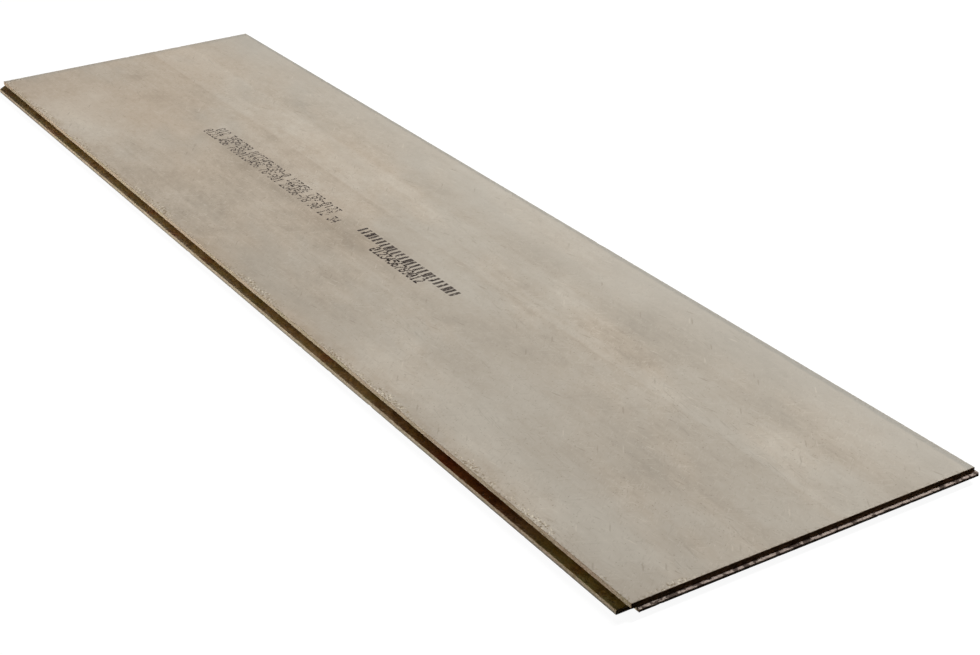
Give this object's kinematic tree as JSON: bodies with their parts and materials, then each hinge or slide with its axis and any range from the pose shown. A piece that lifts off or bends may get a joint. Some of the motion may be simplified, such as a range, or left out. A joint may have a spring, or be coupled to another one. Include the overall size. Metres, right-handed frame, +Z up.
{
  "type": "tongue-and-groove particleboard floor panel",
  "caption": "Flat particleboard floor panel with a groove milled along one long and one short edge and a tongue along the two edges across from them.",
  "frame": {"origin": "bottom centre of the board's bounding box, on the plane of its underside", "axes": "+X along the board towards the short edge that has the tongue, +Y across the board towards the long edge that has the tongue, +Z up out of the walked-on face"},
  "size_m": [2.4196, 0.6194, 0.022],
  "materials": {
    "particleboard": "sanded, unfinished"
  },
  "bodies": {
    "root": {"panel": "particleboard"}
  },
  "joints": []
}
